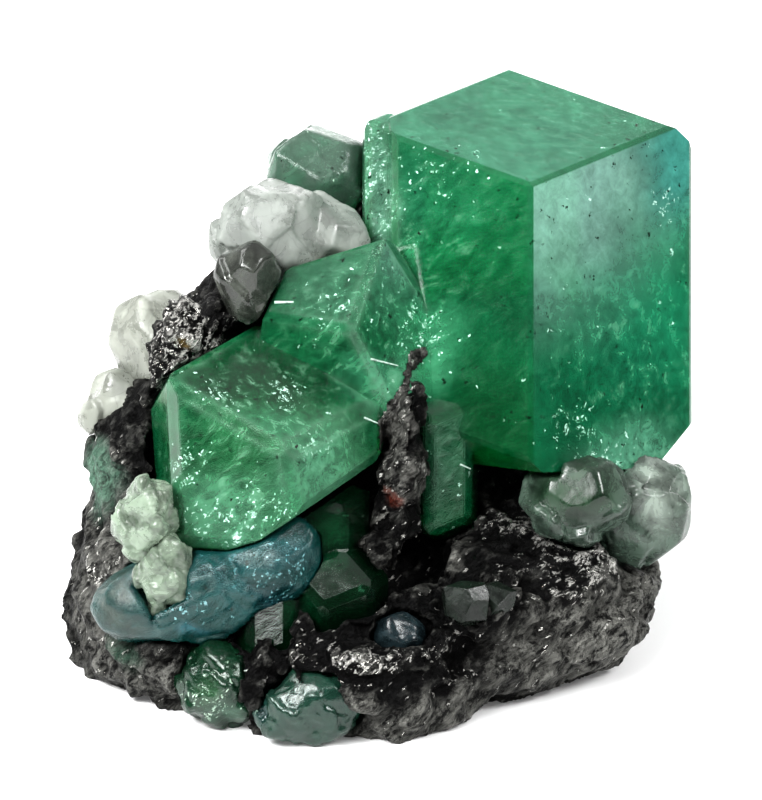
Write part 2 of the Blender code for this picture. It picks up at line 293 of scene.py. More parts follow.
def paint(obj, ground, patches=(), crack_glints=(), lively=()):
    """Lays on each face its colour with painted light and shade, its cracks and liveliness, and how near an
    edge it is.

    A patch is its centre, reach, colour, strength and, if it paints light or shade onto faces that look one
    way, that way.
    A spot of cracks, where painted glints crowd, or a lively spot is its centre, reach and strength.
    """
    mesh = obj.data
    corners = [polygon.loop_total for polygon in mesh.polygons]
    owner = np.repeat(np.arange(len(mesh.polygons)), corners)
    normal = np.array([polygon.normal for polygon in mesh.polygons])[owner]
    vertex = np.empty(len(mesh.loops), dtype=int)
    mesh.loops.foreach_get("vertex_index", vertex)
    wobble = np.array([noise.noise_vector(Vector(p) * 0.45) + 0.5 * noise.noise_vector(Vector(p) * 1.3)
                       for p in points_of(mesh)])
    place = (points_of(mesh) + BORDER_WANDER * wobble)[vertex]
    colour = np.tile(np.array(linear(ground)[:3]), (len(place), 1))
    for centre, reach, hue, strength, *facing_for_painted_light in patches:
        share = strength * share_of(place, centre, reach, 0.2)
        # A patch kept to faces that look one way paints light or shade onto them.
        if facing_for_painted_light:
            share = share * np.clip((normal @ np.array(facing_for_painted_light[0]) - 0.86) / 0.1, 0.0, 1.0)
        colour += share[:, None] * (np.array(linear(hue)[:3]) - colour)
    flaws_and_edge_sheen = np.ones((len(place), 4))
    for channel, spots in ((0, crack_glints), (1, lively)):
        flaws_and_edge_sheen[:, channel] = 0.0
        for centre, reach, strength in spots:
            share = strength * share_of(place, centre, reach, 0.25)
            flaws_and_edge_sheen[:, channel] = np.maximum(flaws_and_edge_sheen[:, channel], share)
    flaws_and_edge_sheen[:, 2] = nearness_to_edges(mesh, EDGE_SHEEN_REACH)[vertex]
    for name, values in (("body_colour_and_painted_light", np.c_[colour, np.ones(len(place))]), ("flaws_and_edge_sheen", flaws_and_edge_sheen)):
        layer = mesh.attributes.new(name, "FLOAT_COLOR", "CORNER")
        layer.data.foreach_set("color", values.ravel())


# ------------------------------------------------------------------ materials
def linear(colour):
    """An sRGB hex colour as linear RGBA."""
    parts = [int(colour[i:i + 2], 16) / 255.0 for i in (1, 3, 5)]
    return (*[p / 12.92 if p <= 0.04045 else ((p + 0.055) / 1.055) ** 2.4 for p in parts], 1.0)


def add(tree, kind, settings=None, links=None):
    """Adds one shader node, with its operation after its kind, its settings and its links.

    A colour is a hex string. A link comes from a socket, or from a node's first output.
    """
    kind, _, operation = kind.partition(" ")
    made = tree.nodes.new("ShaderNode" + kind)
    if operation:
        made.operation = operation
    for name, value in (settings or {}).items():
        value = linear(value) if isinstance(value, str) and value.startswith("#") else value
        if isinstance(name, str) and hasattr(made, name):
            setattr(made, name, value)
        else:
            made.inputs[name].default_value = value
    for name, source in (links or {}).items():
        socket = source.outputs[0] if isinstance(source, bpy.types.Node) else source
        tree.links.new(socket, made.inputs[name])
    return made


def start_material(name, **constant):
    """A Principled material with its constant values, and the place in the measuring frame."""
    mat = bpy.data.materials.new(name)
    mat.use_nodes = True
    tree = mat.node_tree
    shader = tree.nodes["Principled BSDF"]
    for key, value in constant.items():
        shader.inputs[key.replace("_", " ")].default_value = value
    where = add(tree, "TexCoord")
    mm = add(tree, "VectorMath SCALE", {"Scale": 1.0 / MM}, {0: where.outputs["Object"]})
    mm = add(tree, "VectorMath SUBTRACT", {1: ZERO}, {0: mm})
    return mat, tree, shader, mm.outputs[0]


def absorb(tree, colour, per_metre):
    """Light is soaked up towards a colour on its way through the stone."""
    soak = add(tree, "VolumeAbsorption", {"Color": colour, "Density": per_metre})
    tree.links.new(soak.outputs[0], tree.nodes["Material Output"].inputs["Volume"])


def tsavorite(name, clear, soak, per_metre, glint="#d4f7ea", milk_and_edge_sheen="#8cc0a2", gloss=0.05, cracks=0.0,
              relief=0.04, **constant):
    """Tsavorite, a green garnet: glassy faces over clouds and milky veils, with painted glints on healed
    cracks and a painted sheen along the edges.

    clear is how much light passes, relief the height of the growth marks. The tanzanite is made the same
    way: its own IOR, 1.69, is close to garnet's.
    """
    mat, tree, shader, mm = start_material(name, IOR=1.74, **constant)
    body = add(tree, "Attribute", {"attribute_name": "body_colour_and_painted_light"}).outputs["Color"]
    flaws_and_edge_sheen = add(tree, "Attribute", {"attribute_name": "flaws_and_edge_sheen"})
    flaws_and_edge_sheen = add(tree, "SeparateColor", {}, {0: flaws_and_edge_sheen.outputs["Color"]})
    crack_glints, lively, edge = flaws_and_edge_sheen.outputs
    # Clouds about 3 mm across with a fine grain in them; veils 0.5 mm across, drawn out twice as long.
    cloud = add(tree, "TexNoise", {"Scale": 0.33, "Detail": 6.0, "Roughness": 0.7}, {"Vector": mm})
    drawn = add(tree, "VectorRotate", {"rotation_type": "EULER_XYZ", "Rotation": (0.4, 0.7, 0.5)},
                {"Vector": mm})
    drawn = add(tree, "VectorMath MULTIPLY", {1: (0.9, 1.9, 1.9)}, {0: drawn})
    veil = add(tree, "TexNoise", {"Scale": 1.0, "Detail": 6.0, "Roughness": 0.7, "Distortion": 0.5},
               {"Vector": drawn})
    swing = add(tree, "MapRange", {"To Min": 1.2, "To Max": 3.6}, {"Value": lively})
    off = add(tree, "Math SUBTRACT", {1: 0.5}, {0: veil.outputs["Fac"]})
    mottle = add(tree, "Math MULTIPLY_ADD", {2: 1.0}, {0: off, 1: swing})
    drift = add(tree, "MapRange", {"From Min": 0.3, "From Max": 0.7, "To Min": 0.68, "To Max": 1.32},
                {"Value": cloud.outputs["Fac"]})
    mottle = add(tree, "Math MULTIPLY", {}, {0: mottle, 1: drift})
    mottle = add(tree, "Math MAXIMUM", {1: 0.2}, {0: mottle})
    colour = add(tree, "VectorMath SCALE", {}, {0: body, "Scale": mottle}).outputs[0]
    # Milky where the veils are thickest; along the edges the same pale colour is a painted sheen standing
    # in for gathered light.
    milky_and_edge_sheen = add(tree, "MapRange", {"From Min": 0.54, "From Max": 0.7, "To Max": 0.75},
               {"Value": veil.outputs["Fac"]})
    milky_and_edge_sheen = add(tree, "Math MULTIPLY", {}, {0: milky_and_edge_sheen, 1: lively})
    # Painted sheen along the edges, stronger where the crystal is lively.
    rim = add(tree, "Math POWER", {1: 2.5}, {0: edge})
    edge_sheen_by = add(tree, "MapRange", {"To Min": 0.0, "To Max": 0.3}, {"Value": lively})
    rim = add(tree, "Math MULTIPLY", {}, {0: rim, 1: edge_sheen_by})
    milky_and_edge_sheen = add(tree, "Math MAXIMUM", {}, {0: milky_and_edge_sheen, 1: rim})
    colour = add(tree, "MixRGB", {"Color2": milk_and_edge_sheen}, {"Fac": milky_and_edge_sheen, "Color1": colour}).outputs[0]
    if cracks:
        # Dark open cracks between blocks about 2 mm across.
        block = add(tree, "VectorMath MULTIPLY_ADD", {1: (1.5, 1.5, 1.5)},
                    {0: cloud.outputs["Color"], 2: mm})
        block = add(tree, "TexVoronoi", {"feature": "DISTANCE_TO_EDGE", "Scale": 0.5}, {"Vector": block})
        line = add(tree, "MapRange", {"From Max": 0.035, "To Min": cracks, "To Max": 0.0},
                   {"Value": block.outputs["Distance"]})
        colour = add(tree, "MixRGB", {"Color2": "#062a33"}, {"Fac": line, "Color1": colour}).outputs[0]
    # Painted glints: the scales of healed cracks, about 0.1 mm across, painted bright as if catching the
    # light, crowded where the crystal is full of cracks.
    bend = add(tree, "VectorMath MULTIPLY_ADD", {1: (1.0, 1.0, 1.0)}, {0: veil.outputs["Color"], 2: mm})
    scales = add(tree, "TexVoronoi", {"Scale": 9.0}, {"Vector": bend})
    pick = add(tree, "SeparateColor", {}, {0: scales.outputs["Color"]})
    crowd = add(tree, "MapRange", {"From Min": 0.45, "From Max": 0.7, "To Min": 0.0, "To Max": 0.006},
                {"Value": cloud.outputs["Fac"]})
    gathered = add(tree, "Math MULTIPLY", {1: 5.0}, {0: veil.outputs["Fac"]})
    gathered = add(tree, "Math SUBTRACT", {1: 2.2, "use_clamp": True}, {0: gathered})
    gathered = add(tree, "Math MULTIPLY", {}, {0: gathered, 1: crack_glints})
    crowd = add(tree, "Math MULTIPLY_ADD", {1: 0.55}, {0: gathered, 2: crowd})
    spare = add(tree, "Math ADD", {}, {0: pick, 1: crowd})
    on = add(tree, "Math GREATER_THAN", {1: 1.0}, {0: spare})
    glow = add(tree, "MapRange", {"To Min": 0.15, "To Max": 1.0}, {"Value": pick.outputs[1]})
    glow = add(tree, "Math MULTIPLY", {}, {0: on, 1: glow}).outputs[0]
    colour = add(tree, "MixRGB", {"Color2": glint}, {"Fac": glow, "Color1": colour}).outputs[0]
    # A few specks of graphite are grown in.
    speck = add(tree, "Math GREATER_THAN", {1: 0.994}, {0: pick.outputs[2]})
    colour = add(tree, "MixRGB", {"Color2": "#04190e"}, {"Fac": speck, "Color1": colour}).outputs[0]
    tree.links.new(colour, shader.inputs["Base Color"])
    see = add(tree, "MapRange", {"To Min": clear, "To Max": 0.0}, {"Value": glow})
    tree.links.new(see.outputs[0], shader.inputs["Transmission Weight"])
    rough = {"From Min": 0.3, "From Max": 0.7, "To Min": gloss, "To Max": gloss + 0.15}
    rough = add(tree, "MapRange", rough, {"Value": veil.outputs["Fac"]})
    tree.links.new(rough.outputs[0], shader.inputs["Roughness"])
    # Growth relief on the faces, or the crinkled skin of a broken grain.
    bump = add(tree, "Bump", {"Strength": 0.3, "Distance": relief * MM}, {"Height": veil.outputs["Fac"]})
    tree.links.new(bump.outputs[0], shader.inputs["Normal"])
    absorb(tree, soak, per_metre)
    return mat


def quartz(name, clear, roughness, cracks=0.4, dim=0.55, **constant):
    """Quartz: cloudy and greasy where broken, with glassy patches and fine cracks.

    clear is how much light passes and dim how dark its darker clouds are, as a share of the body colour.
    """
    mat, tree, shader, mm = start_material(name, IOR=1.544, **constant)
    body = add(tree, "Attribute", {"attribute_name": "body_colour_and_painted_light"}).outputs["Color"]
    cloud = add(tree, "TexNoise", {"Scale": 0.9, "Detail": 5.0, "Roughness": 0.62, "Distortion": 0.5},
                {"Vector": mm})
    tone = add(tree, "MapRange", {"From Min": 0.34, "From Max": 0.64, "To Min": dim, "To Max": 1.75 - dim},
               {"Value": cloud.outputs["Fac"]})
    colour = add(tree, "VectorMath SCALE", {}, {0: body, "Scale": tone}).outputs[0]
    # Cracks: thin lines between grains about 1.5 mm across.
    bend = add(tree, "VectorMath MULTIPLY_ADD", {1: (0.8, 0.8, 0.8)}, {0: cloud.outputs["Color"], 2: mm})
    crack = add(tree, "TexVoronoi", {"feature": "DISTANCE_TO_EDGE", "Scale": 0.65}, {"Vector": bend})
    line = add(tree, "MapRange", {"From Min": 0.0, "From Max": 0.03, "To Min": cracks, "To Max": 0.0},
               {"Value": crack.outputs["Distance"]})
    dark = add(tree, "VectorMath SCALE", {"Scale": 0.35}, {0: body}).outputs[0]
    colour = add(tree, "MixRGB", {}, {"Fac": line, "Color1": colour, "Color2": dark}).outputs[0]
    tree.links.new(colour, shader.inputs["Base Color"])
    see = add(tree, "MapRange", {"From Min": 0.4, "From Max": 0.6, "To Min": clear, "To Max": clear - 0.25},
              {"Value": cloud.outputs["Fac"]})
    tree.links.new(see.outputs[0], shader.inputs["Transmission Weight"])
    rough = add(tree, "MapRange", {"From Min": 0.35, "From Max": 0.65, "To Min": roughness * 0.4,
                                   "To Max": roughness * 1.4}, {"Value": cloud.outputs["Fac"]})
    tree.links.new(rough.outputs[0], shader.inputs["Roughness"])
    grit = add(tree, "TexNoise", {"Scale": 3.0, "Detail": 5.0, "Roughness": 0.65}, {"Vector": mm})
    bump = add(tree, "Bump", {"Strength": 0.3, "Distance": 0.05 * MM}, {"Height": grit.outputs["Fac"]})
    tree.links.new(bump.outputs[0], shader.inputs["Normal"])
    return mat


def graphite(name):
    """Graphite rock: burnished grey where worn, with painted shade in its hollows and pockets, and
    mirroring flakes on the crests.
    """
    mat, tree, shader, mm = start_material(name, IOR=1.45, Specular_IOR_Level=0.12)
    leaf = add(tree, "Attribute", {"attribute_name": "leaf"})
    leaf = add(tree, "SeparateColor", {}, {0: leaf.outputs["Color"]})
    worn, height, glitter = leaf.outputs
    # Smears run up the slope, about 1.3 mm long and 0.6 mm wide.
    drawn = add(tree, "VectorRotate", {"rotation_type": "EULER_XYZ", "Rotation": (0.0, 0.75, -0.1)},
                {"Vector": mm})
    drawn = add(tree, "VectorMath MULTIPLY", {1: (0.8, 1.8, 1.8)}, {0: drawn})
    smear = add(tree, "TexNoise", {"Scale": 1.0, "Detail": 6.0, "Roughness": 0.74, "Distortion": 0.6},
                {"Vector": drawn})
    scratch = add(tree, "TexNoise", {"Scale": 1.3, "Detail": 5.0, "Roughness": 0.78, "Distortion": 0.2},
                  {"Vector": drawn})
    # Grey where it is worn and high, with painted shade darkening the low hollows; black streaks and pits
    # where the smears thin out.
    tone = add(tree, "Math MULTIPLY_ADD", {1: 0.62}, {0: worn, 2: smear.outputs["Fac"]})
    tone = add(tree, "Math MULTIPLY_ADD", {1: 0.55}, {0: height, 2: tone})
    grey = add(tree, "MapRange", {"From Min": 0.85, "From Max": 1.55}, {"Value": tone})
    pits = add(tree, "MapRange", {"From Min": 0.42, "From Max": 0.56, "To Min": 0.03, "To Max": 1.0},
               {"Value": scratch.outputs["Fac"]})
    grey = add(tree, "Math MULTIPLY", {}, {0: grey, 1: pits}).outputs[0]
    colour = add(tree, "MixRGB", {"Color1": "#030303", "Color2": "#666662"}, {"Fac": grey}).outputs[0]
    # Green garnet and quartz leave stains where they crop out, and near-black painted shade fills the
    # rock's pockets and crevices.
    stain_and_shade = add(tree, "Attribute", {"attribute_name": "stain_and_shade"})
    blotch = add(tree, "MapRange", {"From Min": 0.3, "From Max": 0.5}, {"Value": smear.outputs["Fac"]})
    share = add(tree, "Math MULTIPLY", {}, {0: stain_and_shade.outputs["Alpha"], 1: blotch}).outputs[0]
    colour = add(tree, "MixRGB", {},
                 {"Fac": share, "Color1": colour, "Color2": stain_and_shade.outputs["Color"]}).outputs[0]
    # Flakes about 0.23 mm long and 0.1 mm wide, each leaning its own way.
    bend = add(tree, "VectorMath MULTIPLY_ADD", {1: (1.6, 1.6, 1.6)},
               {0: smear.outputs["Color"], 2: drawn})
    flakes = add(tree, "TexVoronoi", {"Scale": 5.5}, {"Vector": bend})
    pick = add(tree, "SeparateColor", {}, {0: flakes.outputs["Color"]})
    shade = add(tree, "MapRange", {"To Min": 0.6, "To Max": 1.55}, {"Value": pick.outputs[2]})
    colour = add(tree, "VectorMath SCALE", {}, {0: colour, "Scale": shade}).outputs[0]
    high = add(tree, "MapRange", {"From Min": 0.35, "From Max": 0.8}, {"Value": height})
    crowd = add(tree, "Math MULTIPLY", {}, {0: glitter, 1: high})
    crowd = add(tree, "Math MULTIPLY_ADD", {1: 0.75, 2: 0.012}, {0: crowd})
    spare = add(tree, "Math ADD", {}, {0: pick, 1: crowd})
    bright = add(tree, "Math GREATER_THAN", {1: 1.0}, {0: spare})
    glow = add(tree, "Math POWER", {1: 1.3}, {0: pick.outputs[1]})
    bright = add(tree, "Math MULTIPLY", {}, {0: bright, 1: glow}).outputs[0]
    colour = add(tree, "MixRGB", {"Color2": "#f0efe9"}, {"Fac": bright, "Color1": colour}).outputs[0]
    tree.links.new(colour, shader.inputs["Base Color"])
    metal = add(tree, "MapRange", {"To Min": 0.1, "To Max": 0.55}, {"Value": grey})
    metal = add(tree, "Math SUBTRACT", {"use_clamp": True}, {0: metal, 1: share})
    metal = add(tree, "Math MAXIMUM", {}, {0: metal, 1: bright})
    tree.links.new(metal.outputs[0], shader.inputs["Metallic"])
    rough = add(tree, "MapRange", {"To Min": 0.5, "To Max": 0.2}, {"Value": bright})
    tree.links.new(rough.outputs[0], shader.inputs["Roughness"])
    lean = add(tree, "VectorMath SUBTRACT", {1: (0.5, 0.5, 0.5)}, {0: flakes.outputs["Color"]})
    calm = add(tree, "MapRange", {"To Min": 0.9, "To Max": 0.45}, {"Value": worn})
    tilt_by = add(tree, "Math MAXIMUM", {}, {0: calm, 1: bright})
    lean = add(tree, "VectorMath SCALE", {}, {0: lean, "Scale": tilt_by})
    bump = add(tree, "Bump", {"Strength": 0.9, "Distance": 0.2 * MM}, {"Height": smear.outputs["Fac"]})
    tilt = add(tree, "VectorMath ADD", {}, {0: bump, 1: lean})
    tilt = add(tree, "VectorMath NORMALIZE", {}, {0: tilt})
    tree.links.new(tilt.outputs[0], shader.inputs["Normal"])
    return mat


# Which way the faces look that get painted light or shade of their own.
LARGE_RIGHT, LARGE_LEFT, LARGE_TOP = (0.62, -0.70, 0.36), (-0.37, -0.83, 0.42), (0.08, -0.14, 0.99)
LEFT_TOP, MIDDLE_TOP, MIDDLE_FRONT = (0.25, -0.34, 0.91), (-0.22, -0.62, 0.75), (-0.34, -0.94, -0.07)
# Where the big garnets are paler or darker than their body, partly milky or deep zones and partly painted
# light and shade: place, reach, colour, strength and facing.
GARNET_TINTS_AND_PAINTED_LIGHT = (
    ((5.0, 8.0, 10.5), (6.0, 6.0, 6.5), "#034d27", 0.9),
    # The patches kept to one facing are painted light and shade: a painted sheen on the large garnet's
    # right face, pale at its upper front, and lighter or darker painted tops and fronts.
    ((10.5, 11.0, 13.0), (12.0, 11.0, 12.0), "#0b6e49", 1.0, LARGE_RIGHT),
    ((12.2, 14.4, 15.5), (6.0, 7.0, 6.0), "#1f9068", 0.8, LARGE_RIGHT),
    ((5.6, 17.0, 22.8), (16.0, 16.0, 6.0), "#428a6c", 0.97, LARGE_TOP),
    ((7.6, 12.0, 22.6), (13.4, 12.4, 9.0), "#8bb8aa", 1.0, LARGE_RIGHT),
    ((13.6, 17.6, 21.0), (3.2, 4.4, 4.8), "#46a096", 0.75, LARGE_RIGHT),
    ((2.6, 13.8, 21.0), (4.0, 3.4, 3.4), "#237451", 0.8, LARGE_LEFT),
    ((-0.2, 16.0, 20.0), (1.6, 4.0, 4.6), "#6da489", 0.9),
    ((11.2, 9.8, 8.6), (5.6, 4.4, 3.2), "#6fbb99", 1.0),
    ((1.3, 13.0, 17.7), (0.7, 1.5, 1.9), "#3f9f6e", 0.9, LARGE_LEFT),
    ((-5.4, 6.0, 11.5), (7.0, 7.0, 7.0), "#25673f", 0.95),
    ((-7.0, 4.0, 9.3), (3.6, 3.4, 3.2), "#5b9c78", 0.9),
    ((-2.6, 4.8, 11.3), (3.4, 3.2, 3.0), "#5f9e7c", 0.9),
    ((-5.4, 8.6, 14.4), (6.4, 4.6, 2.6), "#0b4c2b", 1.0, LEFT_TOP),
    ((-4.2, 5.2, 13.2), (3.4, 2.2, 1.4), "#387c58", 0.9, LEFT_TOP),
    ((-1.5, 10.6, 17.6), (5.0, 4.0, 3.4), "#356f52", 0.95, MIDDLE_TOP),
    ((-2.0, 9.0, 15.4), (4.4, 2.4, 2.8), "#257a50", 0.9, MIDDLE_FRONT),
    ((2.0, 10.6, 14.6), (2.4, 2.4, 3.0), "#459a70", 0.9),
    ((0.6, 8.9, 13.4), (1.9, 2.0, 2.2), "#62b088", 0.9),
    ((12.0, 24.0, 14.0), (8.0, 5.0, 9.0), "#1c7a55", 0.8),
    ((2.0, 24.0, 18.0), (6.0, 5.0, 6.0), "#3f8f70", 0.7),
    ((6.0, 24.0, 8.0), (8.0, 6.0, 5.0), "#0a4a2c", 0.8),
    ((-0.8, 8.6, 14.4), (1.5, 1.5, 1.5), "#4da67c", 0.85),
    ((2.6, 8.6, 10.2), (2.2, 3.0, 3.4), "#1d573b", 0.97),
    ((14.2, 20.0, 15.0), (2.6, 5.0, 4.0), "#0b5c3c", 0.8),
    ((13.0, 15.0, 9.0), (2.0, 4.0, 3.0), "#3c9a78", 0.7),
    ((10.0, 25.0, 18.0), (4.0, 3.0, 3.0), "#0b5a37", 0.8),
    ((3.0, 25.0, 13.0), (3.0, 3.0, 3.0), "#0a5232", 0.8),
)
# Where healed cracks crowd with painted glints in the big garnets: place, reach and strength.
GARNET_CRACK_GLINTS = (
    ((-4.3, 7.3, 13.8), (1.3, 1.3, 0.9), 1.0), ((-5.2, 3.8, 9.9), (2.0, 1.4, 1.3), 0.8),
    ((-8.6, 4.9, 11.4), (1.0, 1.4, 1.8), 1.0), ((-7.2, 6.6, 14.4), (1.4, 1.2, 0.8), 0.6),
    ((-6.3, 4.2, 8.8), (3.0, 1.5, 1.2), 0.8), ((-3.0, 5.0, 12.2), (1.4, 1.4, 1.0), 0.5),
    ((1.7, 10.7, 15.2), (1.5, 1.6, 1.5), 1.0), ((-0.2, 16.0, 20.4), (1.4, 3.0, 3.4), 0.7),
    ((2.8, 14.4, 21.6), (2.6, 2.2, 1.6), 0.25), ((12.8, 16.4, 19.2), (0.9, 1.2, 1.8), 0.5),
    ((9.4, 9.4, 9.6), (3.0, 2.0, 1.1), 0.6), ((8.6, 9.2, 11.6), (2.0, 2.0, 1.6), 0.35),
    ((-2.4, 9.6, 17.2), (1.6, 1.0, 1.0), 0.5), ((0.5, 9.4, 13.0), (1.4, 1.4, 1.4), 0.4),
    ((10.0, 24.0, 16.0), (4.0, 4.0, 3.0), 0.5), ((3.0, 24.0, 12.0), (3.0, 3.0, 2.5), 0.4),
    ((14.2, 20.0, 12.0), (2.0, 3.0, 3.0), 0.4),
)
# Where veils and clouds stand out in the big garnets: place, reach and strength.
GARNET_LIVELY = (
    ((-5.4, 7.0, 11.5), (6.5, 6.0, 7.0), 1.0), ((-1.0, 10.0, 15.6), (4.5, 3.5, 4.5), 1.0),
    ((-0.2, 16.0, 20.0), (2.0, 4.0, 5.0), 1.0), ((11.6, 11.6, 8.8), (4.4, 3.6, 2.2), 1.0),
    ((1.5, 13.0, 18.0), (5.0, 4.0, 6.0), 0.6), ((11.0, 12.0, 13.0), (7.0, 7.0, 6.0), 0.5),
    ((2.6, 8.6, 10.2), (2.2, 3.0, 3.4), 0.5),
    ((7.0, 25.0, 14.0), (12.0, 6.0, 12.0), 0.6), ((14.6, 19.0, 14.0), (2.8, 6.0, 9.0), 0.8),
)
garnet = tsavorite("tsavorite", clear=0.5, soak="#08e8c0", per_metre=300.0, Specular_IOR_Level=0.35)
dark_garnet = tsavorite(
    "dark_tsavorite", clear=0.6, soak="#08e8c0", per_metre=700.0, glint="#3f7a5c", milk_and_edge_sheen="#1c4a35",
    Specular_IOR_Level=0.12)
pale_garnet = tsavorite(
    "pale_tsavorite", clear=0.5, soak="#60f0d0", per_metre=500.0, glint="#cfe8d4", milk_and_edge_sheen="#4f7560",
    gloss=0.03, relief=0.15, Specular_IOR_Level=0.1)
blue = tsavorite(
    "tanzanite", clear=0.45, soak="#40a8b8", per_metre=500.0, glint="#8fbcc0", milk_and_edge_sheen="#3f858c",
    gloss=0.04, cracks=0.3, relief=0.6, Specular_IOR_Level=0.1)
white_quartz = quartz("quartz", clear=0.4, roughness=0.35, cracks=0.3, dim=0.78, Specular_IOR_Level=0.4)
grey_quartz = quartz("grey_quartz", clear=0.6, roughness=0.15, Specular_IOR_Level=0.35)
dark_quartz = quartz("dark_quartz", clear=0.6, roughness=0.25, cracks=0.5, Specular_IOR_Level=0.05)
green_quartz = quartz("green_quartz", clear=0.5, roughness=0.25, cracks=0.5, Specular_IOR_Level=0.3)
black_graphite = graphite("graphite")


# ------------------------------------------------------------------ the garnets
def garnet_cluster():
    """The large garnet and the four that grow into it, as one solid."""
    solids = [garnet_faces(spec) for spec in GARNETS.values()]
    solids += [uneven_faces(spec) for spec in UNEVEN_CRYSTALS.values()]
    obj = as_object("garnet_cluster", cut_crystal(*solids[0]))
    for place, faces in solids[1:]:
        joined(obj, as_object("growth", cut_crystal(place, faces)))
    small_faces(obj, CRYSTAL_GRID)
    paint(obj, "#0f6a42", GARNET_TINTS_AND_PAINTED_LIGHT, GARNET_CRACK_GLINTS, GARNET_LIVELY)
    return finish_piece(obj, garnet, ["tsavorite_cluster"], smooth=False)


def crisp(name, node, material, painting, size=1.0, shift=(0.0, 0.0, 0.0)):
    """A CAD crystal with flat faces and its edges just broken, drawn at a share of its size if need be."""
    obj = node_copy(name, node)
    middle = Vector(points_of(obj.data).mean(axis=0))
    place = Matrix.Translation(middle + Vector(shift)) @ Matrix.Scale(size, 4)
    obj.data.transform(place @ Matrix.Translation(-middle))
    bm = bmesh.new()
    bm.from_mesh(obj.data)
    bmesh.ops.dissolve_limit(bm, angle_limit=math.radians(2.0), verts=bm.verts, edges=bm.edges)
    bm.to_mesh(obj.data)
    bm.free()
    rim = obj.modifiers.new("edge", "BEVEL")
    rim.width = 0.06
    rim.segments = 2
    rim.limit_method = "ANGLE"
    rim.angle_limit = math.radians(20.0)
    apply_modifiers(obj)
    small_faces(obj, 0.6)
    paint(obj, *painting)
    return finish_piece(obj, material, [node], smooth=False)


def broken_grain(name, node, material, painting, wear, lumps, chips=0.25, chip_size=1.2, fill=0.16):
    """A CAD grain broken into tilted flat chips with soft edges, filled out to touch the rock.

    wear is the rounds of smoothing, lumps how far the skin swells, chips how far chips of chip_size tilt.
    """
    obj = node_copy(name, node)
    remesh(obj, GRAIN_GRID)
    smooth_points(obj.data, wear, 0.5)
    co, no = points_of(obj.data), normals_of(obj.data)
    lift = np.empty(len(co))
    for i, p in enumerate(co):
        v = Vector(p) / chip_size
        middle = noise.voronoi(v + 0.2 * noise.noise_vector(v * 1.5))[1][0]
        slant = noise.cell_vector(middle * 9.7)
        lift[i] = fill + lumps * noise.fractal(v * 1.3, 0.8, 2.1, 4) + chips * (v - middle).dot(slant)
    co += no * np.clip(lift, -0.3, fill + 0.14)[:, None]
    co[:, 2] = np.maximum(co[:, 2], 0.0)
    set_points(obj.data, co)
    smooth_points(obj.data, 1, 0.5)
    paint(obj, *painting)
    return finish_piece(obj, material, [node])


def needles():
    """White needles of a later mineral, about a tenth of a millimetre thick, that lie on the garnets."""
    bm = bmesh.new()
    for start, end, thick in NEEDLES:
        start, end = Vector(start), Vector(end)
        made = bmesh.ops.create_cone(bm, cap_ends=True, segments=6, radius1=thick, radius2=thick * 0.6,
                                     depth=(end - start).length)["verts"]
        turn = (end - start).to_track_quat("Z", "Y").to_matrix().to_4x4()
        bmesh.ops.transform(bm, matrix=Matrix.Translation((start + end) / 2.0) @ turn, verts=made)
    obj = as_object("needles", bm)
    paint(obj, "#d9efe4")
    return finish_piece(obj, white_quartz, [], smooth=False)


# Each needle runs from one point to another on a garnet's face: start, end, radius.
NEEDLES = (
    ((-4.7, 10.38, 16.95), (-3.85, 10.2, 17.05), 0.07), ((-0.4, 8.58, 15.0), (0.8, 9.28, 14.35), 0.045),
    ((-0.7, 7.45, 12.65), (-0.1, 7.6, 12.3), 0.045), ((3.6, 8.27, 9.95), (4.05, 8.55, 9.6), 0.045),
)
cluster = garnet_cluster()
needles()
# What each one is painted with: ground colour, then patches, spots of cracks with painted glints, and
# lively spots.
DARK = ("#0a2a18", (
    ((1.6, 5.6, 6.2), (1.8, 2.0, 1.8), "#12402c", 0.9),
    ((-2.4, 4.6, 8.0), (2.0, 2.0, 1.6), "#1f5f3c", 0.8),
    ((-3.4, 3.0, 5.4), (1.6, 1.6, 1.4), "#0c4a2c", 0.7),
), (), (((-2.4, 4.6, 7.6), (2.0, 2.0, 2.0), 1.0),))
crisp("dark_garnets", "lower_tsavorite", dark_garnet, DARK)
BACK = ("#587364", (
    ((-4.9, 21.0, 19.5), (1.6, 2.0, 2.2), "#8fa598", 0.9),
    ((-2.4, 20.0, 17.4), (1.8, 2.4, 1.6), "#2c2f2b", 0.9),
    ((-1.6, 20.0, 20.4), (1.6, 2.4, 0.8), "#3a3d38", 0.8),
), (((-3.6, 20.0, 19.6), (2.4, 2.4, 1.8), 0.4),), (((-3.6, 20.5, 18.6), (3.4, 3.4, 3.4), 0.8),))
broken_grain("back_garnet", "back_tsavorite", pale_garnet, BACK,
             wear=4, lumps=0.05, chips=0.12, chip_size=2.4)
ROUND = ("#0f3521", (((-7.6, 1.6, 2.2), (1.0, 1.4, 1.0), "#4d7a54", 0.8),
                     ((-6.6, 1.2, 0.9), (1.0, 1.0, 0.8), "#44755a", 0.7)),
         (((-7.4, 1.4, 1.8), (1.8, 1.8, 1.8), 0.6),), (((-7.0, 2.0, 1.8), (2.6, 2.6, 2.6), 1.0),))
broken_grain("round_garnet", "round_tsavorite", pale_garnet, ROUND,
             wear=3, lumps=0.12, chips=0.2, chip_size=0.9)
TEAL = ("#25483c", (((-2.6, 1.2, 1.6), (1.3, 1.3, 1.0), "#8fa898", 0.9),
                    ((-4.8, 1.4, 1.2), (1.2, 1.4, 1.4), "#1c444c", 0.9)),
        (((-2.8, 1.2, 1.6), (1.8, 1.6, 1.2), 0.9),), (((-3.2, 1.6, 1.2), (3.0, 3.0, 3.0), 1.0),))
broken_grain("teal_grain_worn", "teal_grain", pale_garnet, TEAL, wear=2, lumps=0.1)
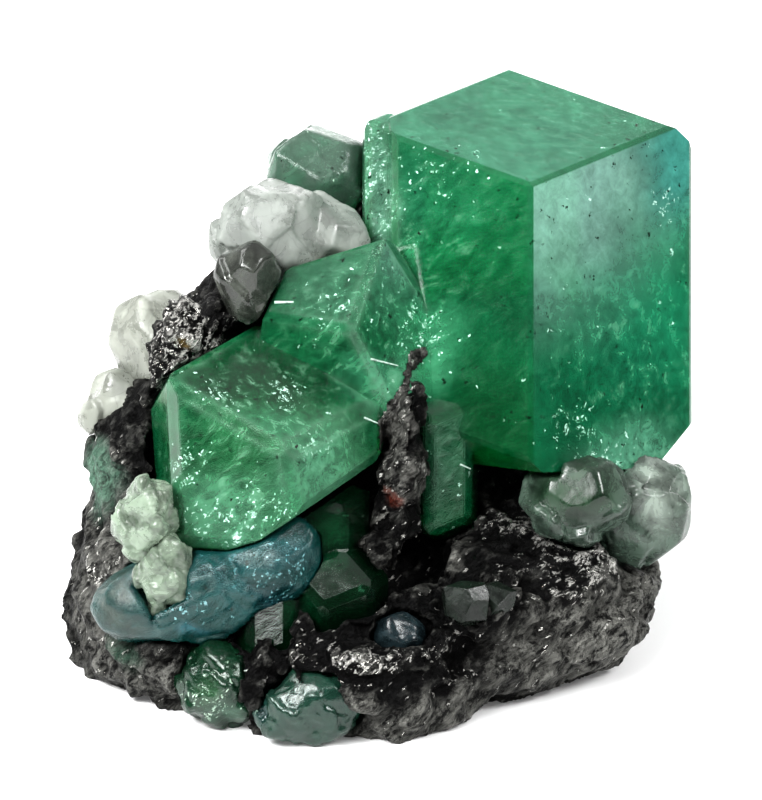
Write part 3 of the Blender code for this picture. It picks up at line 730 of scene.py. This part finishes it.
TANZANITE = ("#114a47", (
    ((-11.6, 3.6, 5.4), (2.4, 2.8, 2.4), "#1b3b2e", 0.95),
    ((-4.9, 3.6, 6.2), (1.6, 2.0, 1.4), "#173f4a", 0.8),
    ((-4.2, 3.8, 7.8), (1.6, 2.0, 1.2), "#2f6264", 0.8),
    ((-8.4, 2.8, 4.6), (1.0, 1.2, 0.6), "#3f8794", 0.8),
), (((-4.6, 3.4, 7.0), (2.6, 1.8, 1.8), 0.45), ((-8.2, 2.8, 5.6), (2.0, 1.6, 1.4), 0.4)),
    (((-6.0, 4.0, 6.4), (4.0, 3.0, 3.0), 1.0), ((-11.0, 4.0, 5.4), (3.0, 3.0, 3.0), 0.5)))
broken_grain("tanzanite", "tanzanite_crystal", blue, TANZANITE,
             wear=3, lumps=0.03, chips=0.08, chip_size=2.6, fill=0.24)
WHITE = ("#929892", (((-2.4, 14.6, 17.4), (2.4, 3.0, 1.8), "#9b9688", 0.8),
                     ((-6.4, 15.4, 17.6), (1.6, 3.0, 1.4), "#666c68", 0.7)))
LEFT_WHITE = ("#9ea298", (((-11.4, 12.8, 12.4), (1.4, 2.4, 1.2), "#8a8e86", 0.8),))
# The right quartz is painted dark green where the large garnet shades it, a painted shadow, and paler
# towards its right end.
GREEN_WITH_PAINTED_SHADOW = ("#4f6055", (((8.6, 7.0, 9.2), (3.0, 3.0, 1.8), "#223e28", 0.95),
                     ((12.6, 9.0, 8.6), (2.0, 3.0, 3.0), "#98a49a", 0.85)))
CRUST = ("#8a9a88", (((-10.6, 5.6, 9.4), (1.2, 1.6, 1.2), "#a5a598", 0.85),
                     ((-9.6, 4.6, 7.4), (0.9, 1.2, 0.8), "#b09a88", 0.7),
                     ((-9.8, 4.4, 5.6), (1.0, 1.2, 1.0), "#55845f", 0.8)))
broken_grain("upper_quartz_grain", "upper_quartz", white_quartz, WHITE,
             wear=1, lumps=0.03, chips=0.42, chip_size=3.6)
broken_grain("left_quartz_grain", "left_quartz", white_quartz, LEFT_WHITE,
             wear=1, lumps=0.04, chips=0.4, chip_size=3.0, fill=0.3)
broken_grain("grey_quartz_grain", "grey_quartz", grey_quartz, ("#4c504a",),
             wear=2, lumps=0.02, chips=0.3, chip_size=2.4)
broken_grain("crust_quartz_grain", "crust_quartz", green_quartz, CRUST,
             wear=1, lumps=0.12, chips=0.5, chip_size=1.1)
broken_grain("right_quartz_grain", "right_quartz", green_quartz, GREEN_WITH_PAINTED_SHADOW,
             wear=1, lumps=0.03, chips=0.45, chip_size=3.0)
broken_grain("small_quartz_grain", "small_quartz", dark_quartz, ("#28363a",),
             wear=3, lumps=0.04, chips=0.1)
crisp("clear_quartz_grain", "clear_quartz", dark_quartz, ("#222a24",),
      size=0.75, shift=(-0.8, -0.9, 1.1))


# ------------------------------------------------------------------ the rock
# Where the rock is worn smooth and where its flakes glitter: place, reach and strength.
WORN = (
    ((9.5, 4.5, 2.6), (7.0, 6.5, 3.6), 1.0), ((3.5, 1.5, 0.8), (8.0, 4.0, 2.4), 0.85),
    ((12.0, 8.5, 4.0), (4.0, 6.0, 4.0), 1.0),
    ((3.1, 6.9, 6.6), (1.8, 1.6, 0.9), 0.9), ((-12.6, 6.0, 4.0), (4.0, 6.0, 5.5), 0.9),
    ((-9.5, 3.3, 1.4), (5.0, 4.0, 2.0), 0.7),
    ((-12.8, 9.5, 8.5), (2.5, 5.0, 4.0), 0.6), ((5.0, 27.0, 4.0), (7.0, 4.0, 4.0), 1.0),
    ((-6.0, 25.0, 8.0), (5.0, 5.0, 4.0), 0.85), ((-11.0, 18.0, 5.0), (4.0, 5.0, 4.0), 0.9),
    ((13.0, 22.0, 3.0), (4.0, 5.0, 4.0), 0.9),
    ((-4.0, 26.0, 10.0), (22.0, 13.0, 16.0), 0.55),
    ((-1.0, -0.4, 1.4), (3.6, 2.4, 2.0), 0.8),
)
GLITTER = (
    ((7.6, 8.2, 6.6), (4.2, 2.0, 1.5), 0.9), ((9.3, 7.6, 6.1), (3.2, 2.4, 1.6), 1.0),
    ((7.4, 5.4, 5.6), (2.4, 2.0, 1.0), 0.5), ((-8.3, 9.0, 15.6), (2.6, 3.0, 4.5), 0.9),
    ((-9.6, 7.0, 12.0), (1.6, 2.4, 2.6), 0.8), ((-0.9, 0.6, 4.2), (3.4, 1.6, 1.6), 0.7),
    ((2.0, 6.0, 7.4), (1.6, 1.4, 1.0), 0.5),
    ((-2.0, 27.0, 7.0), (4.0, 3.0, 2.5), 0.5), ((10.0, 26.0, 6.0), (2.5, 2.5, 1.6), 0.5),
    ((-9.0, 20.0, 11.0), (2.5, 2.5, 2.0), 0.5),
    ((-3.2, 0.6, 4.4), (2.0, 1.4, 1.2), 0.6), ((-12.8, 7.2, 5.7), (1.6, 2.0, 1.2), 0.4),
    ((3.0, 2.0, 3.4), (2.0, 1.6, 1.6), 0.35),
)
# Stains of garnet, quartz and other minerals, and near-black painted shade in the rock's pockets and
# crevices: place, reach, colour and strength.
STAINS_AND_PAINTED_SHADE = (
    ((5.6, 7.2, 6.8), (3.0, 2.6, 1.6), "#020202", 1.0),
    ((1.8, 6.2, 7.9), (1.8, 1.4, 1.0), "#020202", 1.0),
    ((3.4, 2.4, 4.2), (1.4, 1.4, 1.0), "#020202", 1.0),
    ((10.2, 8.9, 5.6), (1.6, 1.2, 0.8), "#020202", 0.9),
    ((-7.0, 9.4, 16.0), (1.0, 1.6, 1.4), "#020202", 1.0),
    ((-11.4, 4.4, 3.4), (1.0, 1.4, 0.6), "#050605", 0.8),
    ((7.6, 3.6, 3.6), (1.6, 1.4, 0.9), "#040404", 0.9),
    ((-1.8, 1.2, 5.0), (1.4, 1.2, 0.8), "#020202", 0.8),
    ((-5.0, 26.5, 8.0), (2.4, 2.4, 1.6), "#4a6657", 0.9),
    ((9.0, 27.6, 4.6), (1.8, 2.0, 1.2), "#8a8e84", 0.8),
    ((-10.5, 22.0, 6.0), (1.6, 2.0, 1.6), "#7c8078", 0.8),
    ((-12.8, 10.2, 8.4), (2.0, 3.0, 2.2), "#4a6657", 0.9),
    ((-11.7, 4.2, 2.4), (2.0, 1.6, 1.2), "#2f463a", 0.6),
    ((5.6, 1.6, 3.6), (0.9, 0.9, 0.6), "#6b8f83", 0.9),
    ((-8.9, 8.9, 15.9), (0.4, 0.8, 0.4), "#6a5a36", 0.6),
    ((0.4, 6.0, 9.3), (0.6, 0.8, 0.4), "#4a2016", 0.8),
    ((7.2, 3.4, 3.8), (0.9, 0.9, 0.7), "#3a3a46", 0.7),
)


def leaf_layers(obj, lift, worn, glitter):
    """Stores how worn, how high (which sets the painted shade in hollows) and how glittering the rock is,
    and its stains and painted shade, at each point.
    """
    mesh = obj.data
    wobble = np.array([noise.noise_vector(Vector(p) * 0.6) for p in points_of(mesh)])
    place = points_of(mesh) + 0.6 * wobble
    stain_and_shade = np.zeros((len(place), 4))
    for centre, reach, hue, strength in STAINS_AND_PAINTED_SHADE:
        share = strength * share_of(place, centre, reach, 0.3)
        stain_and_shade[share > stain_and_shade[:, 3], :3] = linear(hue)[:3]
        stain_and_shade[:, 3] = np.maximum(stain_and_shade[:, 3], share)
    leaf = np.c_[worn, lift, glitter, np.ones(len(place))]
    for name, values in (("leaf", leaf), ("stain_and_shade", stain_and_shade)):
        layer = mesh.attributes.new(name, "FLOAT_COLOR", "POINT")
        layer.data.foreach_set("color", np.clip(values, 0.0, 1.0).ravel())


# The rock's thin leaves lie square to LEAF_WAY. Torn ledges follow each other every LEDGE_RISE, and
# LEAF_SQUEEZE sets how far the leaves' pattern is squeezed across them.
LEAF_WAY = Vector((0.28, -0.42, 0.86)).normalized()
LEDGE_RISE, LEAF_SQUEEZE = 1.1, 1.1


def rock_relief(v):
    """How far torn rock stands out at a point, and how far worn rock does."""
    across = v.dot(LEAF_WAY)
    leaf = v + LEAF_WAY * (LEAF_SQUEEZE * across)
    torn = 1.0 - abs(noise.fractal(leaf * 0.32, 0.8, 2.0, 3)) * 2.2
    level = across / LEDGE_RISE + 3.2 * noise.noise(v * 0.3) + 0.8 * noise.noise(v * 1.0)
    ledge = (1.0 - min(1.0, (level - math.floor(level)) / 0.75)) * (0.7 + noise.noise(v * 0.5))
    crags = noise.ridged_multi_fractal(leaf * 0.8, 0.9, 2.2, 3, 1.0, 2.0) - 1.0
    lumps = 0.3 * noise.noise(v * 0.28) + 0.2 * noise.noise(v * 0.6)
    rough = 0.2 * torn + 0.26 * ledge + 0.12 * crags + lumps - 0.2
    pits = max(0.0, noise.noise(v * 1.3 + LEAF_WAY * across) - 0.12)
    calm = 0.18 * noise.fractal(v * 0.55, 0.8, 2.1, 4) - 0.4 * pits + 0.05
    return rough, calm


def graphite_rock():
    """The rock: torn ledges along its leaves, pits between them, and worn smooth slopes."""
    obj = node_copy("graphite_rock", "graphite_matrix")
    # clear_quartz is drawn smaller than its pocket, so rock fills the pocket.
    joined(obj, node_copy("pocket", "clear_quartz"))
    remesh(obj, ROCK_GRID)
    smooth_points(obj.data, 1, 0.5)
    co, no = points_of(obj.data), normals_of(obj.data)
    wobble = [noise.noise_vector(Vector(p) * 0.3) + 0.8 * noise.noise_vector(Vector(p) * 0.8) for p in co]
    place = co + np.array(wobble)
    worn, glitter = np.zeros(len(co)), np.zeros(len(co))
    for store, spots in ((worn, WORN), (glitter, GLITTER)):
        for centre, reach, strength in spots:
            np.maximum(store, strength * share_of(place, centre, reach, 0.35), out=store)
    lift = np.empty(len(co))
    for i, p in enumerate(co):
        rough, calm = rock_relief(Vector(p))
        lift[i] = calm * worn[i] + rough * (1.0 - worn[i])
    co = co + no * np.clip(lift, -0.6, 0.25)[:, None]
    co[:, 2] = np.maximum(co[:, 2], 0.0)
    set_points(obj.data, co)
    # A point stands high if it stands proud of the smoothed rock around it.
    rounder = obj.data.copy()
    smooth_points(rounder, 14, 0.5)
    proud = ((co - points_of(rounder)) * normals_of(rounder)).sum(axis=1)
    bpy.data.meshes.remove(rounder)
    # How high a point stands sets the painted shade that darkens the rock's hollows.
    leaf_layers(obj, 0.5 + 3.2 * proud, worn, glitter)
    return finish_piece(obj, black_graphite, ["graphite_matrix"])


# How thick the crusts are, and how deep they reach into what they lie on.
CRUST_THICK, CRUST_ROOT = 0.12, 0.25


def crust(name, outline, under):
    """A ragged skin of graphite over the crystals. Its outline is as seen from the show side."""
    us, vs = [u for u, v in outline], [v for u, v in outline]
    wide = int((max(us) - min(us)) / CRUST_GRID) + 2
    tall = int((max(vs) - min(vs)) / CRUST_GRID) + 2

    def inside(u, v):
        ragged_u = 0.12 * noise.noise((u * 4.5, v * 4.5, 3.0))
        ragged_v = 0.12 * noise.noise((u * 4.5, v * 4.5, 9.0))
        u, v = u + ragged_u, v + ragged_v
        crossings = 0
        for (u1, v1), (u2, v2) in zip(outline, outline[1:] + outline[:1]):
            if (v1 > v) != (v2 > v) and u < u1 + (v - v1) * (u2 - u1) / (v2 - v1):
                crossings += 1
        return crossings % 2 == 1

    depth = {}
    for i in range(wide):
        for j in range(tall):
            u, v = min(us) + i * CRUST_GRID, min(vs) + j * CRUST_GRID
            start = Vector((u, 0.0, v / math.cos(SHOW_RISE))) + SHOW_WAY * 60.0
            hits = [tree.ray_cast(start, -SHOW_WAY)[3] for tree in under]
            hits = [far for far in hits if far is not None]
            if inside(u, v) and hits:
                depth[i, j] = (start, min(hits))
    # The skin bridges gaps but never sinks in.
    for _ in range(8):
        smoother = {}
        for (i, j), (start, far) in depth.items():
            near = [depth[k][1] for k in ((i + 1, j), (i - 1, j), (i, j + 1), (i, j - 1)) if k in depth]
            smoother[i, j] = (start, min(far, sum(near, far) / (len(near) + 1)))
        depth = smoother
    bm = bmesh.new()
    outer, inner = {}, {}
    for key, (start, far) in depth.items():
        spot = start - SHOW_WAY * far
        pits = max(0.0, noise.noise(spot * 3.0) - 0.25)
        rough = 0.06 * noise.fractal(spot * 3.5, 0.8, 2.1, 4) - 0.12 * pits
        outer[key] = bm.verts.new(spot + SHOW_WAY * (CRUST_THICK + rough))
        inner[key] = bm.verts.new(spot - SHOW_WAY * CRUST_ROOT)
    for i, j in depth:
        ring = ((i, j), (i + 1, j), (i + 1, j + 1), (i, j + 1))
        if all(key in depth for key in ring):
            bm.faces.new([outer[key] for key in ring])
            bm.faces.new([inner[key] for key in reversed(ring)])
    twin = {outer[key]: inner[key] for key in depth}
    rim = [edge for edge in bm.edges if edge.is_boundary and all(vert in twin for vert in edge.verts)]
    for edge in rim:
        a, b = edge.link_loops[0].vert, edge.link_loops[0].link_loop_next.vert
        bm.faces.new([b, a, twin[a], twin[b]])
    loose = [vert for vert in bm.verts if not vert.link_faces]
    bmesh.ops.delete(bm, geom=loose, context="VERTS")
    obj = as_object(name, bm)
    smooth_points(obj.data, 1, 0.3)
    swell = [noise.fractal(Vector(p) * 2.5, 0.8, 2.1, 4) for p in points_of(obj.data)]
    high = np.array([0.55 + 0.5 * rise for rise in swell])
    leaf_layers(obj, high, worn=np.full(len(high), 0.7), glitter=np.full(len(high), 0.12))
    return finish_piece(obj, black_graphite, [])


def surface_of(obj):
    """A finished piece's surface, in the measuring frame, for a crust to be laid on."""
    mesh = obj.data.copy()
    mesh.transform(Matrix.Translation(-ZERO) @ Matrix.Scale(1.0 / MM, 4))
    bm = bmesh.new()
    bm.from_mesh(mesh)
    tree = BVHTree.FromBMesh(bm)
    bm.free()
    bpy.data.meshes.remove(mesh)
    return tree


rock = graphite_rock()
UNDER = [surface_of(obj) for obj in (cluster, rock)]
# The crusts' outlines as seen from the show side: mm to the right and mm up.
VEIN = [
    (2.05, 17.85), (2.2, 17.4), (1.5, 16.7), (1.35, 15.8), (1.5, 15.0), (1.45, 14.4), (1.3, 13.7),
    (1.25, 12.9), (2.0, 12.9), (2.25, 12.2), (2.15, 11.6), (1.8, 10.95), (0.9, 10.65), (0.0, 11.35),
    (0.2, 11.8), (0.0, 12.8), (-0.1, 13.7), (-0.1, 14.45), (0.4, 15.35), (0.95, 16.2), (1.3, 17.6),
]
STRIP = [
    (0.9, 10.4), (-0.45, 10.45), (-1.05, 9.95), (-1.65, 9.6), (-2.2, 9.1), (-2.5, 8.6), (-2.0, 8.25),
    (-1.05, 8.4), (-0.6, 9.0), (-0.45, 9.6), (0.5, 10.3),
]
crust("graphite_vein", VEIN, UNDER)
crust("graphite_strip", STRIP, UNDER)


# ------------------------------------------------------------------ floor, light and camera
def to_metres(x, y, z):
    """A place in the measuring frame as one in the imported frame."""
    return (Vector((x, y, z)) + ZERO) * MM


def studio():
    """A white table, a dim room that is brighter above and behind, and soft lamps."""
    bpy.context.scene.view_settings.view_transform = "Standard"
    bpy.context.scene.view_settings.look = "Medium High Contrast"
    world = bpy.data.worlds.new("studio")
    world.use_nodes = True
    tree = world.node_tree
    way = add(tree, "TexCoord")
    high = add(tree, "VectorMath DOT_PRODUCT", {1: (0.0, 0.55, 0.83)}, {0: way.outputs["Generated"]})
    high = add(tree, "MapRange", {"interpolation_type": "SMOOTHSTEP", "From Min": -0.2, "From Max": 1.0,
                                  "To Min": 0.05, "To Max": 0.6}, {"Value": high.outputs["Value"]})
    tree.links.new(high.outputs[0], tree.nodes["Background"].inputs["Strength"])
    tree.nodes["Background"].inputs["Color"].default_value = linear("#ffffff")
    bpy.context.scene.world = world
    bm = bmesh.new()
    bmesh.ops.create_grid(bm, x_segments=1, y_segments=1, size=2.0)
    floor = as_object("floor", bm)
    paper, _, shader, _ = start_material("white_paper", Roughness=0.9, Emission_Strength=0.1)
    shader.inputs["Base Color"].default_value = linear("#eeeeee")
    shader.inputs["Emission Color"].default_value = linear("#ffffff")
    floor.data.materials.append(paper)
    # Each lamp's place from the specimen's middle and its side, in mm, and its power in watts.
    middle = to_metres(0.0, 11.0, 11.0)
    for name, spot, size, power in (
        ("left_softbox", (-136.0, -98.0, 164.0), 80.0, 0.55),
        ("front_softbox", (-75.0, -155.0, 160.0), 90.0, 0.3),
        ("top_softbox", (-150.0, 75.0, 165.0), 160.0, 0.4),
        ("back_softbox", (60.0, 190.0, 40.0), 160.0, 0.25),
        ("right_softbox", (150.0, -70.0, 150.0), 70.0, 0.35),
    ):
        lamp = bpy.data.lights.new(name, "AREA")
        lamp.shape = "SQUARE"
        lamp.size = size * MM
        lamp.energy = power
        obj = bpy.data.objects.new(name, lamp)
        obj.location = middle + Vector(spot) * MM
        obj.rotation_euler = (middle - obj.location).to_track_quat("-Z", "Y").to_euler()
        bpy.context.scene.collection.objects.link(obj)


def camera():
    """A long lens half a metre away, raised to look down on the show side."""
    aim = to_metres(0.045, 12.53, 11.14)
    lens = bpy.data.cameras.new("camera")
    lens.lens = 500.0
    lens.sensor_width = 36.0
    lens.clip_start = 0.01
    obj = bpy.data.objects.new("camera", lens)
    obj.location = aim + SHOW_WAY * 0.5
    obj.rotation_euler = (math.radians(90.0) - SHOW_RISE, 0.0, 0.0)
    bpy.context.scene.collection.objects.link(obj)
    bpy.context.scene.camera = obj


studio()
camera()
